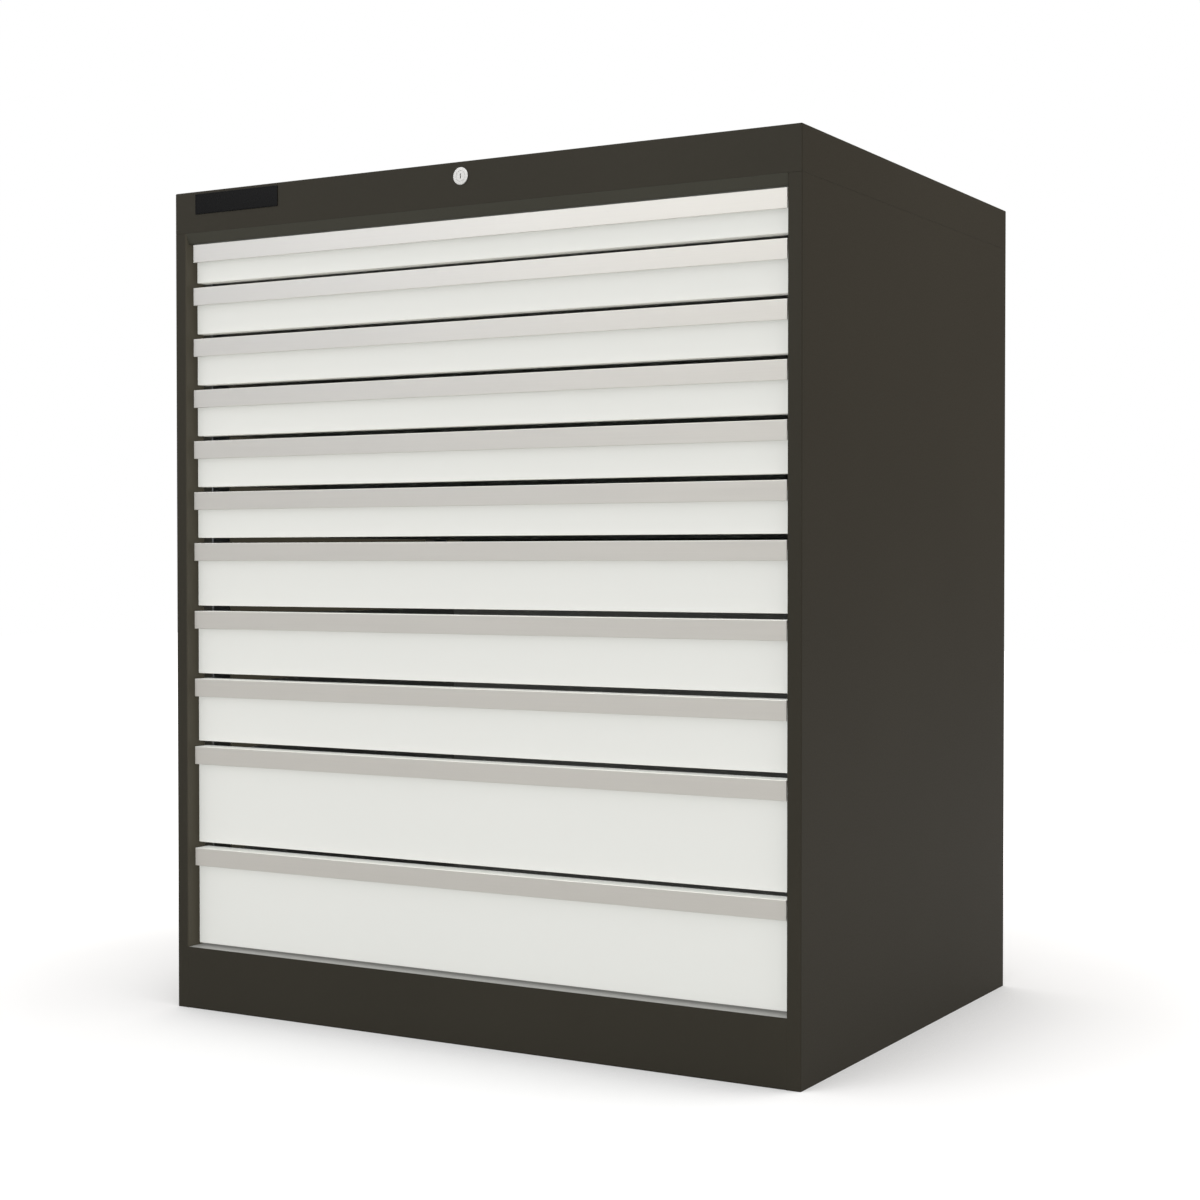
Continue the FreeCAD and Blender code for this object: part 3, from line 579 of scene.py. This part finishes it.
def axleShell(x, y, z, width, way):
    # A stub axle: shoulder, journal and a head with a rounded rim.
    journal, collar, shoulder, rim = (
        axle[part] for part in ("journal", "collar", "shoulder", "rim"))
    end = shoulder + 2 * axle["play"] + width
    head = end + axle["head"]
    profile = [(collar, 0), (collar, shoulder), (journal, shoulder), (journal, end), (collar, end),
               (collar, head - rim), (collar - rim, head)]
    return turned([(r, x + way * along) for r, along in profile], 0, (y, z), roller["steps"])


def buildSlides(number):
    # Two plates, each with rollers for the drawer's rail inside and the cabinet's rail outside.
    drawer = "drawer_%02d" % number
    trayLow, trayHigh = boxOf(drawer + "_tray")
    low, high = boxOf(drawer + "_slides")
    z = (low[2] + high[2]) / 2
    stop, count = roller["stopDistance"], roller["count"]
    travel = trayHigh[1] - trayLow[1] - 2 * traySheet["wall"]
    railStart = trayLow[1] + traySheet["wall"]
    inner = np.linspace(railStart + stop, trayHigh[1] - stop - travel / 2, count)
    outer = np.linspace(railsLow[1] + stop + travel / 2, trayHigh[1], count)
    near, far = inner[0] - slidePlate["nose"], outer[-1] + slidePlate["nose"]
    corners = [(near, low[2]), (far, low[2]), (far, high[2]), (near, high[2])]
    outline = roundedOutline(corners, [slidePlate["corner"]] * 4)
    gap = axle["shoulder"] + axle["play"]
    plates, wheels = [], []
    for side in (1, -1):
        faces = sorted((side * slidePlate["inner"], side * slidePlate["outer"]))
        plates.append(carried(outline, 0, *faces, slidePlate["edge"]))
        for face, way, width, ys in ((slidePlate["inner"], -1, roller["innerWidth"], inner),
                                     (slidePlate["outer"], 1, roller["outerWidth"], outer)):
            for y in ys:
                plates.append(axleShell(side * face, y, z, width, side * way))
                wheels.append(rollerShell(side * (face + way * gap), y, z, width, side * way))
    body = "slides_%02d" % number
    node = drawer + "_slides"
    makePiece("slidePlates_%02d" % number, plates, zincSteel, body, "zinc_steel", node)
    makePiece("slideRollers_%02d" % number, wheels, rollerSteel, body, "zinc_steel", node)


def buildCabinetRails():
    shells = []
    openX, near, far = openingX - railSheet["cabinetDepth"], railsLow[1], railsHigh[1]
    for number in drawerNumbers:
        low, high = boxOf("drawer_%02d_slides" % number)
        for side in (1, -1):
            shells += channel(side * openX, side * openingX, low[2], high[2], near, far)
    makePiece("cabinetRails", shells, zincSteel, "housing", "zinc_steel", "cabinet_rails")


for number in drawerNumbers:
    buildDrawer(number)
    buildTray(number)
    buildSlides(number)
buildCabinetRails()
print("drawers built:", len(drawerNumbers))


# Lock, plate and rivets

lockRing = {"flange": 12 * mm, "bore": 7.05 * mm, "barrel": 9.5 * mm, "rim": 0.6 * mm,
            "mouth": 0.3 * mm, "nut": 13 * mm, "nutDepth": 4 * mm, "nutPlay": 0.05 * mm,
            "steps": 72}
plateShape = {"corner": 1.2 * mm, "rimWidth": 1.6 * mm, "rimHeight": 0.4 * mm, "edge": 0.35 * mm,
              "bevel": 0.3}  # bevel: share of the edge that its middle point is drawn in
rivet = {"radius": 4 * mm, "shank": 2 * mm, "upset": 3 * mm, "upsetDepth": 1.2 * mm,
         "crown": 0.3 * mm, "perSide": 8, "steps": 28, "domeSteps": 6}


def buildLockHousing():
    # Flange with a rounded rim, barrel and bore in one closed profile, and a plain round nut.
    low, high = boxOf("lock_housing")
    centre = (0, (low[2] + high[2]) / 2)
    face, tail = low[1], high[1]
    flange, rim, bore, mouth, reach, nutReach = (
        lockRing[part] for part in ("flange", "rim", "bore", "mouth", "barrel", "nut"))
    quarter = np.linspace(0, math.pi / 2, arcSteps + 1)
    outer = np.stack([flange - rim * (1 - np.sin(quarter)), face + rim * (1 - np.cos(quarter))], 1)
    profile = [(bore, tail), (bore, face + mouth), (bore + mouth, face)] + outer.tolist()
    profile += [(flange, frontY), (reach, frontY), (reach, tail), (bore, tail)]
    barrel = turned(profile, 1, centre, lockRing["steps"])
    near = frontY + wall
    far = near + lockRing["nutDepth"]
    hole = reach + lockRing["nutPlay"]
    nutProfile = [(hole, near), (nutReach, near), (nutReach, far), (hole, far), (hole, near)]
    nut = turned(nutProfile, 1, centre, lockRing["steps"])
    makePiece("lockHousing", [barrel, nut], lockChrome, "housing", "lock_chrome", "lock_housing")


def buildPlate():
    # Rings of a rounded rectangle from the back edge over a raised rim to the sunk middle.
    low, high = boxOf("name_plate")
    rise = high[1] - low[1]
    rim, edge = plateShape["rimWidth"], plateShape["edge"]
    bevel = edge * plateShape["bevel"]
    steps = [(0.0, 0.0), (0.0, rise - edge), (bevel, rise - bevel), (edge, rise),
             (rim - edge, rise), (rim, rise - plateShape["rimHeight"])]
    half = (high - low)[[0, 2]] / 2
    middle = (high + low)[[0, 2]] / 2
    rings = []
    for inset, height in steps:
        corners = np.array([(1, 1), (-1, 1), (-1, -1), (1, -1)]) * (half - inset) + middle
        line = roundedOutline(corners, [max(plateShape["corner"] - inset, tinyEdge)] * 4)
        ring = np.empty((len(line), 3))
        ring[:, [0, 2]] = line
        ring[:, 1] = high[1] - height
        rings.append(ring)
    makePiece("namePlate", [np.array(rings)], plateBlack, "housing", "plate_black", "name_plate")


def buildRivets():
    # Domed heads on upset shanks, turned round Y. The dome is a quarter ellipse: its radius
    # follows the cosine and its rise the sine.
    low, high = boxOf("back_rivets")
    radius, rise = rivet["radius"], high[1] - backY
    angle = np.linspace(0, math.pi / 2, rivet["domeSteps"] + 1)[:-1]
    dome = np.stack([radius * np.cos(angle), backY + rise * np.sin(angle)], 1).tolist()
    shank, upset, shankStart = rivet["shank"], rivet["upset"], low[1] + rivet["upsetDepth"]
    profile = [(upset, low[1]), (upset, shankStart), (shank, shankStart), (shank, backY)] + dome
    profile += [(rivet["crown"], backY + rise)]
    heights = np.linspace(low[2] + radius, high[2] - radius, rivet["perSide"])
    shells = [turned(profile, 1, (x, z), rivet["steps"])
              for x in (low[0] + radius, high[0] - radius) for z in heights]
    makePiece("backRivets", shells, zincSteel, "housing", "zinc_steel", "back_rivets")


buildLockHousing()
buildPlate()
buildRivets()
print("lock, plate and rivets built")


# Finishes of the nodes that keep their own shape

keptFinishes = {"back_panel": housingPaint, "upright_posts": zincSteel, "lock_plug": lockChrome,
                "lock_crossbar": zincSteel, "lock_crank": zincSteel, "lock_bar": zincSteel,
                "linkage_screws": zincSteel}
for name, material in keptFinishes.items():
    node = frame["nodes"][name]
    node.data.materials.clear()
    node.data.materials.append(material)
print("finishes set on", len(keptFinishes), "nodes")


# Floor, light and camera

white = (1, 1, 1)
studio = {"floorSide": 24.0, "floorTone": (0.6, 0.6, 0.6, 1), "nearLift": 0.575, "farLift": 1.0,
          "nearReach": 0.75, "farReach": 1.7, "contactReach": 0.34, "contactSamples": 8,
          "contactDepth": 1.42, "contactPower": 1.5, "glossyShare": 0.2}
sky = {"front": (0.62, 0.62, 0.62, 1), "back": (0.385, 0.335, 0.285, 1), "frontAt": -0.2,
       "backAt": 0.6}
# A lamp with shine shows in reflections. It lights only the pieces named after "only", or passes
# those named after "passes".
lamps = {
    "keySoftbox": {"at": (-1.9, -4.0, 3.5), "aim": (0, 0, 0.6), "size": 3.2, "power": 62,
                   "shine": True, "passes": "drawerFront"},
    "leftSoftbox": {"at": (-3.6, -4.0, 1.2), "aim": (0, 0, 0.2), "size": 2.6, "power": 12},
    "fillSoftbox": {"at": (3.4, -4.4, 1.7), "aim": (0, 0, 0.3), "size": 2.6, "power": 62,
                    "passes": "drawerFront"},
    "rearSoftbox": {"at": (3.4, 2.6, 3.6), "aim": (0.6, 0, 0), "size": 3.2, "power": 80},
    "coolSoftbox": {"at": (-2.2, -2.9, 1.9), "aim": (0, -0.4, 1.1), "size": 1.4, "power": 1.6,
                    "shine": True, "tint": (0.3, 0.5, 1.0), "only": "handleRail"},
}
fillLights = {  # even light without shadows, for narrow gaps and for the flat look of the fronts
    "frontFill": {"towards": (0.1, -1.0, 0.1), "power": 1.46, "tint": (0.94, 1.0, 0.99),
                  "only": "drawerFront"},
    "trayFill": {"towards": (0.3, -1.0, 0.35), "power": 0.16, "only": "drawerTray"},
    "returnFill": {"towards": (1.0, 0, 0.1), "power": 3.3, "only": "sidePanelLeft"},
    "sillFill": {"towards": (0, 0, 1.0), "power": 1.4, "only": "sillAndFloor"},
    "topFill": {"towards": (0, 0, 1.0), "power": 15.5, "tint": (0.9, 0.96, 1.0),
                "only": "handleRail"},
}
photoCamera = {"at": (1.5823, -2.7422, 0.6600), "tilt": 1.072, "turn": 30.0, "field": 32.0}


def buildFloor():
    # A white floor that glows for the camera: less near the middle, and less again where pieces
    # stand close over it, which draws the soft shadow.
    half = studio["floorSide"] / 2
    corners = np.array([(-half, -half, 0), (half, -half, 0), (half, half, 0), (-half, half, 0)])
    mesh = bpy.data.meshes.new("studioFloor")
    mesh.from_pydata(corners.tolist(), [], [(0, 1, 2, 3)])
    floor = bpy.data.objects.new("studioFloor", mesh)
    bpy.context.scene.collection.objects.link(floor)
    material, tree, shader = newMaterial("floorWhite")
    shader.inputs["Base Color"].default_value = studio["floorTone"]
    shader.inputs["Roughness"].default_value = 1.0
    shader.inputs["Specular IOR Level"].default_value = 0.0
    shader.inputs["Emission Color"].default_value = (*white, 1)
    place = addNode(tree, "ShaderNodeTexCoord").outputs["Object"]
    away = addNode(tree, "ShaderNodeVectorMath", {"operation": "LENGTH"})
    tree.links.new(place, away.inputs[0])
    spread = addNode(tree, "ShaderNodeMapRange", {"interpolation_type": "SMOOTHSTEP"},
                     Value=away.outputs["Value"], From_Min=studio["nearReach"],
                     From_Max=studio["farReach"], To_Min=studio["nearLift"],
                     To_Max=studio["farLift"]).outputs[0]
    contact = addNode(tree, "ShaderNodeAmbientOcclusion", {"samples": studio["contactSamples"]},
                      Distance=studio["contactReach"])
    covered = addMath(tree, "SUBTRACT", 1.0, contact.outputs["AO"])
    hidden = addMath(tree, "POWER", covered, studio["contactPower"])
    shade = addMath(tree, "MULTIPLY_ADD", hidden, -studio["contactDepth"], 1.0)
    lift = addMath(tree, "MULTIPLY", spread, shade)
    path = tree.nodes.new("ShaderNodeLightPath")
    seen = addMath(tree, "MULTIPLY_ADD", path.outputs["Is Glossy Ray"], studio["glossyShare"],
                   path.outputs["Is Camera Ray"])
    tree.links.new(addMath(tree, "MULTIPLY", lift, seen), shader.inputs["Emission Strength"])
    mesh.materials.append(material)


def buildSky():  # white where the camera looks; for every other ray a pale room, darker behind
    world = bpy.data.worlds.new("studioSky")
    bpy.context.scene.world = world
    world.use_nodes = True
    tree = world.node_tree
    tree.nodes.clear()
    way = addNode(tree, "ShaderNodeTexCoord").outputs["Generated"]
    depth = tree.nodes.new("ShaderNodeSeparateXYZ")
    tree.links.new(way, depth.inputs[0])
    share = addNode(tree, "ShaderNodeMapRange", Value=depth.outputs["Y"], From_Min=sky["frontAt"],
                    From_Max=sky["backAt"]).outputs[0]
    seen = tree.nodes.new("ShaderNodeLightPath").outputs["Is Camera Ray"]
    room = mixColours(tree, share, sky["front"], sky["back"])
    tone = mixColours(tree, seen, room, (*white, 1))
    light = addNode(tree, "ShaderNodeBackground", Color=tone, Strength=1.0)
    out = tree.nodes.new("ShaderNodeOutputWorld")
    tree.links.new(light.outputs[0], out.inputs[0])


def limitLamp(lamp, prefix, state):
    chosen = bpy.data.collections.new(lamp.name + "Pieces")
    for piece in bpy.data.objects:
        if piece.name.startswith(prefix):
            chosen.objects.link(piece)
    for entry in chosen.collection_objects:
        entry.light_linking.link_state = state
    lamp.light_linking.receiver_collection = chosen


def addLamp(name, kind, facts):
    data = bpy.data.lights.new(name, kind)
    data.energy = facts["power"]
    data.color = facts.get("tint", white)
    lamp = bpy.data.objects.new(name, data)
    bpy.context.scene.collection.objects.link(lamp)
    lamp.visible_glossy = facts.get("shine", False)
    for rule, state in (("only", "INCLUDE"), ("passes", "EXCLUDE")):
        if rule in facts:
            limitLamp(lamp, facts[rule], state)
    return data, lamp


def buildSoftbox(name, facts):
    data, lamp = addLamp(name, "AREA", facts)
    data.shape = "SQUARE"
    data.size = facts["size"]
    lamp.location = facts["at"]
    aim = Vector(facts["aim"]) - Vector(facts["at"])
    lamp.rotation_euler = aim.to_track_quat("-Z", "Y").to_euler()


def buildFill(name, facts):
    data, lamp = addLamp(name, "SUN", facts)
    data.use_shadow = False
    lamp.rotation_euler = Vector(facts["towards"]).to_track_quat("Z", "Y").to_euler()


def buildCamera():
    data = bpy.data.cameras.new("photoCamera")
    data.lens = data.sensor_width / 2 / math.tan(math.radians(photoCamera["field"] / 2))
    camera = bpy.data.objects.new("photoCamera", data)
    bpy.context.scene.collection.objects.link(camera)
    camera.location = photoCamera["at"]
    tilt, turn = photoCamera["tilt"], photoCamera["turn"]
    camera.rotation_euler = (math.radians(90 - tilt), 0, math.radians(turn))
    bpy.context.scene.camera = camera


buildFloor()
buildSky()
for name, facts in lamps.items():
    buildSoftbox(name, facts)
for name, facts in fillLights.items():
    buildFill(name, facts)
buildCamera()
bpy.context.scene.view_settings.view_transform = "Standard"
print("studio ready")
